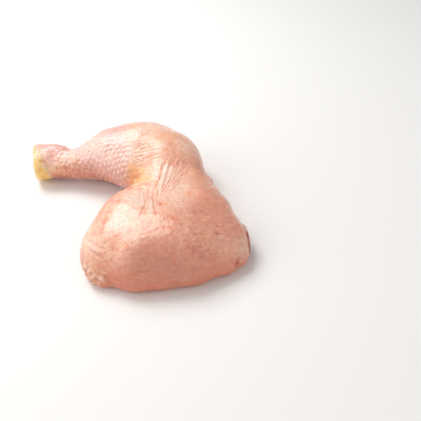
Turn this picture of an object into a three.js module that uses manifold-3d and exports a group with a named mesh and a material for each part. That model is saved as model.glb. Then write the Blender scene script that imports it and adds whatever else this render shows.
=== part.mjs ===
// A raw whole chicken leg, thigh and drumstick in one piece, lying on its inner side, skin up.
//
// Frame, in millimetres: +Z up, the leg rests on z = 0. The shank points along -X to the hock and
// the thigh lies towards -Y. The origin is under the middle of the bounding box.
//
// The flesh is one field of muscles: round cones and ellipsoids joined by smooth minima. The field
// is negative inside, and its value is close to a distance in millimetres, so what lies under the
// skin is the same field plus a depth. Four pieces come out of it: the skin, open under the thigh
// and at its hip edge, the meat that fills it, the shin bone, and the cuff of scaly skin that is
// left round the cut hock.

import * as THREE from "three";
import { mergeVertices } from "three/addons/utils/BufferGeometryUtils.js";
import Module from "manifold-3d";

// ---- driving dimensions ---------------------------------------------------------------------

const SKIN_DEPTH = 2; // thickness of the skin with its fat
const CUFF_LENGTH = 13; // how much scaly skin is left at the hock
const MEAT_INSET = 1.2; // how far the meat stays back from the hock cut
const BULGE = 1.2; // how far the meat swells out of the skin at the hip edge
const GAP = 0.3; // clearance between neighbouring pieces
const SKIN_CELL = 4.35; // grid of the surfaces that show
const INNER_CELL = 7.5; // grid of the surfaces under the skin
const BONE_CELL = 3.4; // grid of the bone

// ---- small field tools ------------------------------------------------------------------------

const smoothstep = (low, high, x) => {
  const t = Math.min(1, Math.max(0, (x - low) / (high - low)));
  return t * t * (3 - 2 * t);
};
const mix = (a, b, t) => a + (b - a) * t;

// The smaller of two distances, with a fillet about k wide where they meet.
function blend(a, b, k) {
  const h = Math.max(k - Math.abs(a - b), 0) / k;
  return Math.min(a, b) - (h * h * k) / 4;
}
// The larger of two distances, with the same fillet.
const carve = (a, b, k) => -blend(-a, -b, k);

// Distance to an ellipsoid, close to the true one near its surface.
function ellipsoid([cx, cy, cz], [rx, ry, rz]) {
  return (x, y, z) => {
    const u = x - cx;
    const v = y - cy;
    const w = z - cz;
    const near = Math.hypot(u / rx, v / ry, w / rz);
    const steep = Math.hypot(u / rx ** 2, v / ry ** 2, w / rz ** 2);
    return steep > 0 ? (near * (near - 1)) / steep : -Math.min(rx, ry, rz);
  };
}

// Distance to a cone with round ends, from ball a to ball b.
function roundCone([ax, ay, az], ra, [bx, by, bz], rb) {
  const ux = bx - ax;
  const uy = by - ay;
  const uz = bz - az;
  const l2 = ux * ux + uy * uy + uz * uz;
  const rr = ra - rb;
  const a2 = l2 - rr * rr;
  return (x, y, z) => {
    const px = x - ax;
    const py = y - ay;
    const pz = z - az;
    const along = px * ux + py * uy + pz * uz;
    const beyond = along - l2;
    const sx = px * l2 - ux * along;
    const sy = py * l2 - uy * along;
    const sz = pz * l2 - uz * along;
    const x2 = sx * sx + sy * sy + sz * sz;
    const y2 = along * along * l2;
    const z2 = beyond * beyond * l2;
    const k = Math.sign(rr) * rr * rr * x2;
    if (Math.sign(beyond) * a2 * z2 > k) return Math.sqrt(x2 + z2) / l2 - rb;
    if (Math.sign(along) * a2 * y2 < k) return Math.sqrt(x2 + y2) / l2 - ra;
    return (Math.sqrt((x2 * a2) / l2) + along * rr) / l2 - ra;
  };
}

// Fields joined by smooth minima.
const FAR_AWAY = 1000;
const joined = (parts, k) => (x, y, z) =>
  parts.reduce((d, part) => blend(d, part(x, y, z), k), FAR_AWAY);

// A limb through stations [x, y, z, radius], as a chain of round cones.
const limb = (stations, k) =>
  joined(
    stations.slice(1).map((b, i) => {
      const a = stations[i];
      return roundCone(a.slice(0, 3), a[3], b.slice(0, 3), b[3]);
    }),
    k,
  );

// ---- the flesh --------------------------------------------------------------------------------

// Each line of stations [x, y, z, radius] runs along a muscle or a rim. The number after a list of
// parts is the fillet between them.

const SHANK_LINE = [
  [4, 53.5, 21.5, 22],
  [-18, 54.5, 20.5, 19.5],
  [-32, 52, 18.5, 14.5],
  [-45, 51.8, 16, 11],
  [-57.5, 54.5, 15, 11],
  [-69, 57.5, 15, 12.5],
];
const shank = joined(
  [
    limb(SHANK_LINE, 3),
    ellipsoid([-79, 58, 15], [18, 13.8, 13.8]), // the hock
    ellipsoid([-64.5, 60, 22], [9.5, 6.5, 6]), // the knuckle on top of it
    ellipsoid([-77, 64, 20], [5, 5, 5.5]), // the knob at the cut
  ],
  5,
);

const knee = joined(
  [
    ellipsoid([6.5, 52, 20], [34, 35, 20]),
    ellipsoid([26, 40, 19], [18.5, 21, 18]),
  ],
  12,
);

const FRONT_RIM = [
  [-22, -44, 6, 6],
  [-16.5, -57.5, 6, 6],
  [5, -62.2, 6, 6.5],
  [24, -61.8, 6, 6.5],
  [46, -59, 6, 6.5],
  [62, -54.5, 6, 6.5],
  [70, -47.5, 6, 6],
  [69.5, -36.5, 6.5, 6],
];
const OUTER_RIM = [
  [-12.5, -42, 12.5, 13.5],
  [7.5, -53, 12.5, 14],
  [36.5, -52, 12.5, 13.5],
  [64, -37, 11.5, 11.5],
  [52.5, -14, 14, 11.5],
  [43.5, 12, 16.5, 12.8],
  [29.5, 36, 19, 17.5],
];
const INNER_RIM = [
  [-12.6, -40.2, 12.5, 13.5],
  [0.6, -16.8, 16, 14],
  [18, 5, 17, 13],
];
const thigh = joined(
  [
    ellipsoid([23, -25, 15], [46, 40.5, 21]), // the thigh's main mass
    limb(OUTER_RIM, 6),
    limb(INNER_RIM, 6),
    limb(FRONT_RIM, 6),
  ],
  14,
);

// Lumps of fat along the ragged skin edge, and a pinched fold at the outer edge.
const LUMPS = [
  [-27, -48, 5, 3.6],
  [-25.5, -54, 4.5, 3.8],
  [-22, -59.5, 4.5, 4.2],
  [-15.5, -64, 4, 4.4],
  [55.5, 15, 19, 3.6],
];
const lumps = joined(
  LUMPS.map(([x, y, z, r]) => ellipsoid([x, y, z], [r, r, r])),
  2,
);

// The skin sinks in a shallow trough from the inner fold over to the outer edge.
const trough = limb(
  [
    [6, -2, 44.5, 9],
    [20, -16, 44.5, 9],
    [38, -14, 43, 8],
  ],
  4,
);

const FOLD = { from: -7, to: 22, sharp: 3, wide: 21 }; // between shank and thigh, along X
const KNEE_FILLET = 10; // where the shank runs into the knee
const TROUGH_EDGE = 14; // rounding of the trough
const LUMP_EDGE = 3; // rounding round the lumps
const REST_EDGE = 4; // rounding where the leg meets what it rests on

function flesh(x, y, z) {
  const upper = blend(shank(x, y, z), knee(x, y, z), KNEE_FILLET);
  const fold = mix(FOLD.sharp, FOLD.wide, smoothstep(FOLD.from, FOLD.to, x));
  const whole = blend(upper, thigh(x, y, z), fold);
  const pinched = carve(whole, -trough(x, y, z), TROUGH_EDGE);
  return carve(blend(pinched, lumps(x, y, z), LUMP_EDGE), -z, REST_EDGE);
}
const under = (depth) => (x, y, z) => flesh(x, y, z) + depth;

// The same, but swelling towards the hip edge, where the meat isn't held in by skin.
const SWELL = { from: 58, to: 72 };
const swollen = (x, y, z) =>
  Math.max(flesh(x, y, z) - BULGE * smoothstep(SWELL.from, SWELL.to, x), -z);

// Where the leg was cut from the carcass: under the thigh, and up over its hip edge.
const hipCut = joined(
  [
    ellipsoid([26, -25, -5], [50, 38, 12]),
    limb(
      [
        [45, -27, -8, 16],
        [90, -33, 3, 15],
      ],
      1,
    ),
  ],
  4,
);

// The shin bone, from the knee to the flared end that shows at the hock cut.
const BONE_LINE = [
  [4, 52, 21, 6],
  [-25, 53, 19, 4.6],
  [-58, 54.5, 15.5, 4.6],
  [-70, 57, 15, 7],
];
const shinBone = joined(
  [
    limb(BONE_LINE, 4),
    ellipsoid([-75.5, 54, 15], [7.5, 5.8, 8.2]), // the two knuckles of the joint
    ellipsoid([-75.5, 61, 15], [7.5, 5.8, 8.2]),
  ],
  3,
);

// ---- meshing ------------------------------------------------------------------------------------

// A grid cell has eight corners, numbered by their bits x, y, z. Each of its twelve edges joins
// corner p to corner q, one step along axis d, and each of its six faces is a list of four edges.
const CORNERS = [0, 1, 2, 3, 4, 5, 6, 7].map((c) => [c & 1, (c >> 1) & 1, c >> 2]);
const edgeId = (d, p) => 8 * d + p;
const EDGE_IDS = 24;
const EDGES = [0, 1, 2].flatMap((d) =>
  CORNERS.flatMap((corner, p) => (corner[d] ? [] : [{ id: edgeId(d, p), p, q: p | (1 << d) }])),
);
const FACES = [0, 1, 2].flatMap((d) =>
  [0, 1].map((side) =>
    EDGES.filter(({ p, q }) => CORNERS[p][d] === side && CORNERS[q][d] === side),
  ),
);

// The edges that the surface crosses in a cell, as one set for each sheet of surface.
function sheetsIn(value) {
  const sheetOf = new Map();
  for (const edge of EDGES)
    if (value[edge.p] < 0 !== value[edge.q] < 0) sheetOf.set(edge, new Set([edge]));
  const inner = (edge) => (value[edge.p] < 0 ? edge.p : edge.q);
  for (const face of FACES) {
    const crossed = face.filter((edge) => sheetOf.has(edge));
    for (const a of crossed)
      for (const b of crossed)
        if (crossed.length === 2 || inner(a) === inner(b)) {
          const sheet = new Set([...sheetOf.get(a), ...sheetOf.get(b)]);
          for (const edge of sheet) sheetOf.set(edge, sheet);
        }
  }
  return new Set(sheetOf.values());
}

// The closed surface where the field is zero, on a grid of that cell: one vertex for each sheet in
// each cell, moved onto the surface, and across each grid edge that the surface crosses one quad,
// split along the diagonal that lies closer to the surface.
function surfaceOf(field, low, high, cell) {
  const n = [0, 1, 2].map((d) => Math.ceil((high[d] - low[d]) / cell) + 1);
  const at = (i, j, k) => i + n[0] * (j + n[1] * k);
  const step = [at(1, 0, 0), at(0, 1, 0), at(0, 0, 1)];
  const offset = CORNERS.map(([i, j, k]) => at(i, j, k));
  const values = new Float64Array(n[0] * n[1] * n[2]);
  for (let k = 0; k < n[2]; k++)
    for (let j = 0; j < n[1]; j++)
      for (let i = 0; i < n[0]; i++)
        values[at(i, j, k)] = field(low[0] + i * cell, low[1] + j * cell, low[2] + k * cell);

  const positions = [];
  const vertexOf = new Map();
  const vertexKey = (here, id) => here * EDGE_IDS + id;
  for (let k = 0; k < n[2] - 1; k++)
    for (let j = 0; j < n[1] - 1; j++)
      for (let i = 0; i < n[0] - 1; i++) {
        const here = at(i, j, k);
        const value = offset.map((o) => values[here + o]);
        for (const sheet of sheetsIn(value)) {
          const sum = [0, 0, 0];
          for (const { id, p, q } of sheet) {
            const t = value[p] / (value[p] - value[q]);
            for (let d = 0; d < 3; d++) sum[d] += mix(CORNERS[p][d], CORNERS[q][d], t);
            vertexOf.set(vertexKey(here, id), positions.length / 3);
          }
          const point = [i, j, k].map((v, d) => low[d] + (v + sum[d] / sheet.size) * cell);
          positions.push(...ontoSurface(field, point, cell));
        }
      }

  const index = [];
  for (let k = 1; k < n[2] - 1; k++)
    for (let j = 1; j < n[1] - 1; j++)
      for (let i = 1; i < n[0] - 1; i++)
        for (let d = 0; d < 3; d++) {
          const here = at(i, j, k);
          const inside = values[here] < 0;
          if (inside === values[here + step[d]] < 0) continue;
          const u = (d + 1) % 3;
          const v = (d + 2) % 3;
          const vertex = (back, side) =>
            vertexOf.get(
              vertexKey(here - back * step[u] - side * step[v], edgeId(d, (back << u) | (side << v))),
            );
          const around = [vertex(0, 0), vertex(1, 0), vertex(1, 1), vertex(0, 1)];
          const [a, b, c, e] = inside ? around : around.reverse();
          const straight = Math.abs(field(...between(positions, a, c)));
          const crossed = Math.abs(field(...between(positions, b, e)));
          index.push(...(straight < crossed ? [a, b, c, a, c, e] : [b, c, e, b, e, a]));
        }
  const geometry = new THREE.BufferGeometry();
  geometry.setAttribute("position", new THREE.Float32BufferAttribute(positions, 3));
  geometry.setIndex(index);
  return geometry;
}

// The point halfway between two vertices of a flat list of positions.
const between = (positions, a, b) =>
  [0, 1, 2].map((d) => (positions[3 * a + d] + positions[3 * b + d]) / 2);

// A point near the field's zero surface, moved onto it along the slope, by at most half a cell.
const PROBE = 0.05; // step that the slope is measured over
const TURNS = 3; // times that the point is moved
const LEVEL = 1e-6; // a squared slope too small to follow
function ontoSurface(field, start, cell) {
  const point = [...start];
  for (let turn = 0; turn < TURNS; turn++) {
    const value = field(...point);
    const slope = [0, 1, 2].map((d) => {
      const ahead = [...point];
      ahead[d] += PROBE;
      return (field(...ahead) - value) / PROBE;
    });
    const steep = Math.hypot(...slope) ** 2;
    if (steep < LEVEL) break;
    for (let d = 0; d < 3; d++) {
      const moved = point[d] - (value * slope[d]) / steep;
      point[d] = Math.min(start[d] + cell / 2, Math.max(start[d] - cell / 2, moved));
    }
  }
  return point;
}

// The same mesh with each vertex moved outwards along its normal, or inwards if negative.
function grown(geometry, distance) {
  const copy = geometry.clone();
  copy.computeVertexNormals();
  const { position, normal } = copy.attributes;
  for (let i = 0; i < position.count; i++)
    position.setXYZ(
      i,
      position.getX(i) + normal.getX(i) * distance,
      position.getY(i) + normal.getY(i) * distance,
      position.getZ(i) + normal.getZ(i) * distance,
    );
  return copy;
}

// ---- solids ---------------------------------------------------------------------------------------

const wasm = await Module();
wasm.setup();

const SAME_POINT = 1e-4; // vertices closer than this are one
function solid(geometry) {
  const bare = geometry.clone();
  bare.deleteAttribute("normal");
  bare.deleteAttribute("uv");
  const merged = mergeVertices(bare, SAME_POINT);
  return new wasm.Manifold(
    new wasm.Mesh({
      numProp: 3,
      vertProperties: new Float32Array(merged.attributes.position.array),
      triVerts: new Uint32Array(merged.index.array),
    }),
  );
}

function geometryOf(manifold) {
  const { vertProperties, triVerts } = manifold.getMesh();
  const geometry = new THREE.BufferGeometry();
  geometry.setAttribute("position", new THREE.BufferAttribute(vertProperties, 3));
  geometry.setIndex(new THREE.BufferAttribute(triVerts, 1));
  return geometry;
}

// Everything on the foot's side of a plane across the shank, so far inside the hock cut.
const HOCK = { middle: [-82, 57.5, 15], normal: [-0.97, -0.2, 0.12] };
const FOOT_ROOM = 80; // side of the block that stands for the foot's side
function footSide(inset) {
  const normal = new THREE.Vector3(...HOCK.normal).normalize();
  const up = new THREE.Vector3(0, 0, 1);
  const block = new THREE.BoxGeometry(FOOT_ROOM, FOOT_ROOM, FOOT_ROOM)
    .translate(0, 0, FOOT_ROOM / 2 - inset)
    .applyQuaternion(new THREE.Quaternion().setFromUnitVectors(up, normal))
    .translate(...HOCK.middle);
  return solid(block);
}

// Room for the leg and for the cut region, with a few cells to spare on all sides.
const LEG_ROOM = [
  [-110, -90, -10],
  [100, 105, 60],
];
const CUT_ROOM = [
  [-40, -80, -30],
  [130, 30, 40],
];

const outer = solid(surfaceOf(flesh, ...LEG_ROOM, SKIN_CELL));
const innerSurface = surfaceOf(under(SKIN_DEPTH), ...LEG_ROOM, INNER_CELL);
const inner = solid(innerSurface);
const cutSurface = surfaceOf(hipCut, ...CUT_ROOM, SKIN_CELL);
const boneSurface = surfaceOf(shinBone, ...LEG_ROOM, BONE_CELL);

const skin = outer
  .subtract(footSide(CUFF_LENGTH + GAP))
  .subtract(inner)
  .subtract(solid(cutSurface));
const cuff = outer.intersect(footSide(CUFF_LENGTH)).subtract(footSide(0)).subtract(inner);
const meat = solid(grown(innerSurface, -GAP))
  .add(solid(grown(cutSurface, -GAP)))
  .intersect(solid(surfaceOf(swollen, ...LEG_ROOM, SKIN_CELL)))
  .subtract(footSide(MEAT_INSET))
  .subtract(solid(grown(boneSurface, GAP)));

// ---- the leg --------------------------------------------------------------------------------------

const group = new THREE.Group();

function piece(name, geometry, color, roughness) {
  const material = new THREE.MeshStandardMaterial({ color, roughness, metalness: 0 });
  const mesh = new THREE.Mesh(geometry, material);
  mesh.name = name;
  group.add(mesh);
}

piece("skin", geometryOf(skin), 0xe8beaa, 0.4);
piece("hock_cuff", geometryOf(cuff), 0xf0c468, 0.5);
piece("meat", geometryOf(meat), 0xb4534f, 0.4);
piece("shin_bone", boneSurface, 0xd8c3c4, 0.5);

const box = new THREE.Box3().setFromObject(group);
const middle = box.getCenter(new THREE.Vector3());
group.position.set(-middle.x, -middle.y, -box.min.z);

export default group;
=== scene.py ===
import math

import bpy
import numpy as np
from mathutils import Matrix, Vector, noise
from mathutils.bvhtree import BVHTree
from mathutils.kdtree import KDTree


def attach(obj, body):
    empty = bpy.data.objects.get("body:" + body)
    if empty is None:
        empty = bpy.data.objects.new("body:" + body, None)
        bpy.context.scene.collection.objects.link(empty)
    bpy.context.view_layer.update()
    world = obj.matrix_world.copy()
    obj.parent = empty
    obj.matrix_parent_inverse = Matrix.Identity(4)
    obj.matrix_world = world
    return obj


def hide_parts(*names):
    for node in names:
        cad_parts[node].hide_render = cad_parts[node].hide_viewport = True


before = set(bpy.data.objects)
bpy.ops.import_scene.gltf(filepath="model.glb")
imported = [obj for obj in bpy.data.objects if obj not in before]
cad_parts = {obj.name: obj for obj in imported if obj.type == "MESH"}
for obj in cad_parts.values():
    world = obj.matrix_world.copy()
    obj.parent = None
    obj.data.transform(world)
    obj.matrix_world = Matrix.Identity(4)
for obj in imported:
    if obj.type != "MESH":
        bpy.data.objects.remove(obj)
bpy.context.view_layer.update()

# The looks of a raw whole chicken leg: moist pale skin with its follicles, wrinkles and folds, the
# yellow cuff at the hock, the bone end in it, and the dark meat where the leg was cut off.
#
# The four solids of the frame are fused into one fine surface. Each piece is cut out of that
# surface where its own solid lies, and sculpted there. Marks that the photograph shows are given in
# its pixels and cast through its camera onto the surface, and from then on they are places in 3-D.

MM = 0.001
RANDOM = np.random.default_rng(7)

# ---- the photograph's view ----

PHOTO = 421  # pixels across and down
FOCAL = 528.2  # focal length in those pixels
SENSOR_MM = 36
CAMERA_PLACE = Vector((0.057805, -0.295373, 0.260105))
CAMERA_DOWN = math.radians(41.58)
CAMERA_ROLL = math.radians(-3.41)
CAMERA_TILT = Matrix.Rotation(math.pi / 2 - CAMERA_DOWN, 3, "X")
CAMERA_TURN = CAMERA_TILT @ Matrix.Rotation(CAMERA_ROLL, 3, "Z")
CLIP_START = 0.01


def add_camera():
    lens = bpy.data.cameras.new("camera")
    lens.sensor_width = SENSOR_MM
    lens.lens = FOCAL / PHOTO * SENSOR_MM
    lens.clip_start = CLIP_START
    camera = bpy.data.objects.new("camera", lens)
    camera.matrix_world = Matrix.Translation(CAMERA_PLACE) @ CAMERA_TURN.to_4x4()
    bpy.context.scene.collection.objects.link(camera)
    bpy.context.scene.camera = camera


# ---- small tools ----


def smoothstep(low, high, x):
    t = np.clip((x - low) / (high - low), 0, 1)
    return t * t * (3 - 2 * t)


def bell(x):
    return np.exp(-(x * x))


SEED_SHIFT = 17.3  # how far apart two seeds lie in the noise, in its own features


def grain(co, size, seed):
    """Smooth noise from about -1 to 1 at each point, with features of that size."""
    shift = SEED_SHIFT * seed
    return np.array([noise.noise((x + shift, y - shift, z)) for x, y, z in co / size])


def gather(n, index, values):
    """The sum of values at each index, for one value or one vector at a time."""
    if values.ndim == 1:
        return np.bincount(index, values, n)
    return np.stack([np.bincount(index, column, n) for column in values.T], 1)


def new_object(name, co, faces):
    mesh = bpy.data.meshes.new(name)
    mesh.from_pydata(co.tolist(), [], faces)
    mesh.update()
    piece = bpy.data.objects.new(name, mesh)
    bpy.context.scene.collection.objects.link(piece)
    return piece


def applied(piece):
    """Applies the piece's modifiers for good."""
    depsgraph = bpy.context.evaluated_depsgraph_get()
    done = bpy.data.meshes.new_from_object(piece.evaluated_get(depsgraph), depsgraph=depsgraph)
    piece.modifiers.clear()
    piece.data = done
    return piece


def mesh_arrays(mesh):
    co = np.empty(len(mesh.vertices) * 3, np.float32)
    mesh.vertices.foreach_get("co", co)
    return co.reshape(-1, 3).astype(float), [tuple(p.vertices) for p in mesh.polygons]


def kd_tree(points):
    tree = KDTree(len(points))
    for number, point in enumerate(points):
        tree.insert(point, number)
    tree.balance()
    return tree


def edges_of(faces):
    sides = faces.shape[1]
    pairs = np.concatenate([faces[:, [i, (i + 1) % sides]] for i in range(sides)])
    return np.sort(pairs, 1)


def island_of(n, edges):
    """For each vertex, the lowest vertex of the island that it is on."""
    label = np.arange(n)
    while True:
        lowest = label[edges].min(1)
        new = label.copy()
        np.minimum.at(new, edges[:, 0], lowest)
        np.minimum.at(new, edges[:, 1], lowest)
        new = new[new]
        if (new == label).all():
            return label
        label = new


SMOOTH_IN, SMOOTH_OUT = 0.5, -0.52  # a step that shrinks the shape, and one that swells it back


class Surface:
    """A closed surface of quads, as arrays."""

    def __init__(self, co, faces):
        self.co = co
        self.faces = faces
        self.edges = np.unique(edges_of(faces), axis=0)
        ends = self.edges.ravel()
        self.degree = np.bincount(ends, minlength=len(co))

    def around(self, values):
        """The mean of each vertex's neighbours."""
        a, b = self.edges.T
        n = len(self.co)
        total = gather(n, a, values[b]) + gather(n, b, values[a])
        return total / (self.degree if values.ndim == 1 else self.degree[:, None])

    def smoothed(self, values, rounds):
        for _ in range(rounds):
            values = (values + self.around(values)) / 2
        return values

    def relax(self, rounds):
        """Smooths the shape without shrinking it."""
        for _ in range(rounds):
            for share in (SMOOTH_IN, SMOOTH_OUT):
                self.co = self.co + share * (self.around(self.co) - self.co)

    def normals(self):
        a, b, c, d = (self.co[self.faces[:, i]] for i in range(4))
        across = np.cross(c - a, d - b)
        total = sum(gather(len(self.co), self.faces[:, i], across) for i in range(4))
        return total / np.linalg.norm(total, axis=1)[:, None]


VOXEL = 0.8 * MM
SMOOTH_ROUNDS = 6


def remeshed(nodes):
    """The outer surface of these CAD nodes, fused: the largest island of their voxel remesh."""
    co, faces, start = [], [], 0
    for node in nodes:
        points, polygons = mesh_arrays(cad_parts[node].data)
        co.append(points)
        faces += [[start + v for v in polygon] for polygon in polygons]
        start += len(points)
    whole = new_object("fused", np.concatenate(co), faces)
    grid = whole.modifiers.new("grid", "REMESH")
    grid.mode = "VOXEL"
    grid.voxel_size = VOXEL
    co, faces = mesh_arrays(applied(whole).data)
    bpy.data.objects.remove(whole)
    faces = np.array(faces)
    island = island_of(len(co), np.unique(edges_of(faces), axis=0))
    names, sizes = np.unique(island, return_counts=True)
    faces = faces[island[faces[:, 0]] == names[sizes.argmax()]]
    used, faces = np.unique(faces, return_inverse=True)
    return Surface(co[used], faces.reshape(-1, 4))


# ---- the fused leg ----

NODES = ["skin", "hock_cuff", "meat", "shin_bone"]
CUFF, MEAT, BONE = 1, 2, 3  # their places in NODES
leg = remeshed(NODES)


def nearest_node(co):
    """For each point, the number in NODES of the CAD node that it lies on."""
    points, faces, owner = [], [], []
    start = 0
    for number, node in enumerate(NODES):
        node_co, node_faces = mesh_arrays(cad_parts[node].data)
        points += node_co.tolist()
        faces += [[start + v for v in face] for face in node_faces]
        owner += [number] * len(node_faces)
        start += len(node_co)
    solids = BVHTree.FromPolygons(points, faces)
    return np.array([owner[solids.find_nearest(p)[2]] for p in co.tolist()])


node_here = nearest_node(leg.co)
leg.relax(SMOOTH_ROUNDS)
leg_tree = BVHTree.FromPolygons(leg.co.tolist(), leg.faces.tolist())


def cast(pixel):
    """The point of the leg that the photograph shows at this pixel, or the nearest one to it."""
    u, v = pixel
    ray = CAMERA_TURN @ Vector((u - PHOTO / 2, PHOTO / 2 - v, -FOCAL))
    ray.normalize()
    hit = leg_tree.ray_cast(CAMERA_PLACE, ray)[0]
    if hit is None:
        middle = Vector(leg.co.mean(0))
        hit = leg_tree.find_nearest(CAMERA_PLACE + ray * (middle - CAMERA_PLACE).dot(ray))[0]
    return np.array(hit)


LINE_STEP = 0.5 * MM  # between points, taking a pixel as 1 mm


def line_on_leg(pixels):
    """A smooth line through these pixels, as close points on the leg."""
    ends = np.array(pixels, float)
    padded = np.concatenate([[2 * ends[0] - ends[1]], ends, [2 * ends[-1] - ends[-2]]])
    points = []
    for a, b, c, d in zip(padded, padded[1:], padded[2:], padded[3:]):
        count = max(2, int(np.linalg.norm(c - b) * MM / LINE_STEP))
        for t in np.arange(count) / count:
            # A Catmull-Rom curve, which passes through each of its points.
            bend = (3 * b - a - 3 * c + d) * t**3 + (2 * a - 5 * b + 4 * c - d) * t**2
            points.append(cast(0.5 * (bend + (c - a) * t + 2 * b)))
    points.append(cast(ends[-1]))
    return np.array(points)


# ---- regions ----

HOCK_CUT = np.array([-79.965, 50.587, 15.0]) * MM  # the middle of the cut through the hock
HOCK_OUT = np.array([-0.97, -0.2, 0.12])  # the way out of it
HOCK_OUT = HOCK_OUT / np.linalg.norm(HOCK_OUT)
CUT_ROUNDS = 8

up_shank = (leg.co - HOCK_CUT) @ -HOCK_OUT  # from the cut, in metres
is_cut = leg.smoothed(np.isin(node_here, [MEAT, BONE]).astype(float), CUT_ROUNDS)

# ---- sculpting ----

NORMAL = leg.normals()
height = np.zeros(len(leg.co))  # how far each vertex of the skin rises, in metres
painted_furrow_shade = np.zeros(len(leg.co))  # how much painted shade each vertex takes from the crease it lies in, 0 to 1


def from_pixel(u, v):
    """How far each vertex is from what the photograph shows at this pixel."""
    return np.linalg.norm(leg.co - cast((u, v)), axis=1)


def distance_to(points, reach):
    """The vertices within reach of a line of points, how far off each is, and where along the line
    its nearest point lies, 0 to 1."""
    low, high = points.min(0) - reach, points.max(0) + reach
    near = np.flatnonzero(((leg.co > low) & (leg.co < high)).all(1))
    apart = np.linalg.norm(leg.co[near][:, None] - points[None], axis=2)
    closest = apart.argmin(1)
    return near, apart.min(1), closest / max(1, len(points) - 1)


LINE_REACH = 4  # how far a ridge acts, in its widths
LINE_END = 0.22  # the share of its length over which each end fades
SHOULDER_AT = 1.9  # where its shoulders are deepest, in its widths
FULL_FURROW = 0.35 * MM  # a crease as deep as this gets its painted shade in full


def ridge(pixels, width, rise, shoulders):
    """Raises a ridge along a line of pixels, or cuts a crease if rise is negative, fading out at
    both ends. Width and rise are in millimetres. Shoulders are the share of it that the flesh
    beside it moves the other way."""
    width, rise = width * MM, rise * MM
    near, d, along = distance_to(line_on_leg(pixels), LINE_REACH * width)
    fade = smoothstep(0, LINE_END, along) * smoothstep(1, 1 - LINE_END, along)
    beside = bell((d - SHOULDER_AT * width) / width)
    height[near] += rise * fade * (bell(d / width) - shoulders * beside)
    # A crease also gets painted shade, stronger where it is deeper.
    if rise < 0:
        painted = fade * bell(d / width) * min(1, -rise / FULL_FURROW)
        painted_furrow_shade[near] = np.maximum(painted_furrow_shade[near], painted)


FAMILY_SHOULDERS = 0.3
FAMILY_SHORTEST = 0.3  # as a share of the whole line
FAMILY_WIDTHS = (0.75, 1.3)  # from the narrowest to the widest, as shares of the width given
FAMILY_RISES = (0.5, 1.2)


def family(first, last, count, width, rise, wander=1.0, longest=0.7):
    """Lines laid between a first and a last one, each with its own length and strength, and off its
    place by about as many pixels as wander says."""
    first, last = np.array(first, float), np.array(last, float)
    for share in np.linspace(0, 1, count):
        line = first + (last - first) * share + RANDOM.normal(0, wander, first.shape)
        length = RANDOM.uniform(FAMILY_SHORTEST, longest)
        start = RANDOM.uniform(0, 1 - length)
        ends = np.linspace(start, start + length, len(line)) * (len(line) - 1)
        steps = np.arange(len(line))
        line = np.stack([np.interp(ends, steps, column) for column in line.T], 1)
        own_width = width * RANDOM.uniform(*FAMILY_WIDTHS)
        ridge(line, own_width, rise * RANDOM.uniform(*FAMILY_RISES), FAMILY_SHOULDERS)


MARKS_RAGGED = 1 + 0.3 * grain(leg.co, 3 * MM, 5) + 0.2 * grain(leg.co, 1.2 * MM, 6)


def near_marks(marks):
    """How much of these marks (u, v, radius in mm, strength) lies on each vertex, 0 to 1, with
    ragged borders."""
    share = np.zeros(len(leg.co))
    for u, v, radius, strength in marks:
        d = from_pixel(u, v) * MARKS_RAGGED
        share = 1 - (1 - share) * (1 - strength * bell(d / (radius * MM)))
    return share


def squeezed(direction, share):
    """The vertices' places with only that share of their way along a direction left, for noise that
    is drawn out along it."""
    return leg.co - np.outer((1 - share) * (leg.co @ direction), direction)


# Broad unevenness of the flesh under the skin.
height += 0.35 * MM * grain(leg.co, 14 * MM, 1) + 0.12 * MM * grain(leg.co, 5 * MM, 2)

# Fine creases in the skin, longer across the thigh than up it, and fainter at its calm left edge.
ACROSS_THIGH = cast((232, 230)) - cast((200, 228))
ACROSS_THIGH = ACROSS_THIGH / np.linalg.norm(ACROSS_THIGH)
CREASE_STRETCH = 0.4
CREASE_RISE = 0.09  # in mm
CREASE_CALM = 0.7  # the share of it that goes where the skin is calm
CALM_MARKS = [(96, 256, 13, 0.9)]
calm = near_marks(CALM_MARKS)
creases = grain(squeezed(ACROSS_THIGH, CREASE_STRETCH), 2.1 * MM, 19)
height += (1 - CREASE_CALM * calm) * CREASE_RISE * MM * creases

# Fine short wrinkles that run over the knee.
KNEE_WRINKLES = (
    [(129, 171), (139, 167), (150, 164), (161, 162)],
    [(133, 138), (143, 134), (154, 131), (167, 131)],
)
family(*KNEE_WRINKLES, count=24, width=0.55, rise=-0.2, wander=0.8, longest=0.5)
family(*KNEE_WRINKLES, count=24, width=0.55, rise=-0.2, wander=0.8, longest=0.4)

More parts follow.
